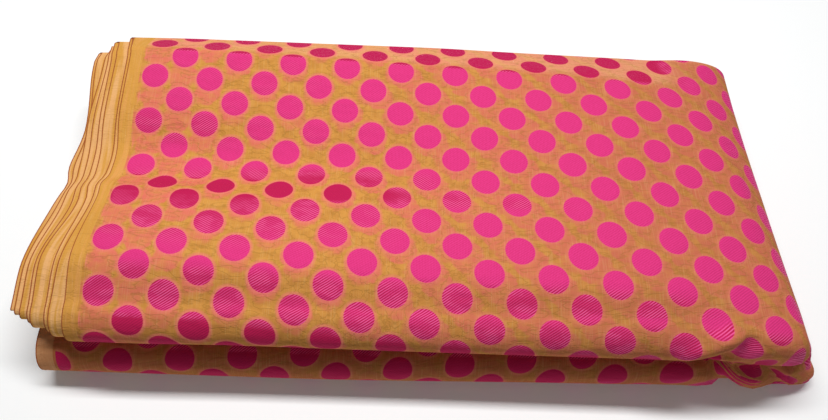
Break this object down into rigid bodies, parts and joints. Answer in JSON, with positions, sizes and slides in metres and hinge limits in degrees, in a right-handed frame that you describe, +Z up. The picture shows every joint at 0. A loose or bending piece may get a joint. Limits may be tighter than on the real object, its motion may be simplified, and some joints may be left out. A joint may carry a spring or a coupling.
{
  "type": "folded chanderi fabric",
  "caption": "Cut length of sheer gold dotted cloth, pleated into plies and folded in half with its selvedges fanned at one end.",
  "frame": {"origin": "centre of the bounding box on the surface the folded cloth rests on", "axes": "+X along the bundle to its thick fold, with the selvedges at -X; +Y to the back, with the doubled front folds at -Y; +Z up"},
  "size_m": [0.6004, 0.2862, 0.089],
  "materials": {
    "chanderi_cloth": "sheer mustard gold silk and cotton weave with woven hot pink satin dots"
  },
  "bodies": {
    "root": {"folded_cloth": "chanderi_cloth"}
  },
  "joints": []
}
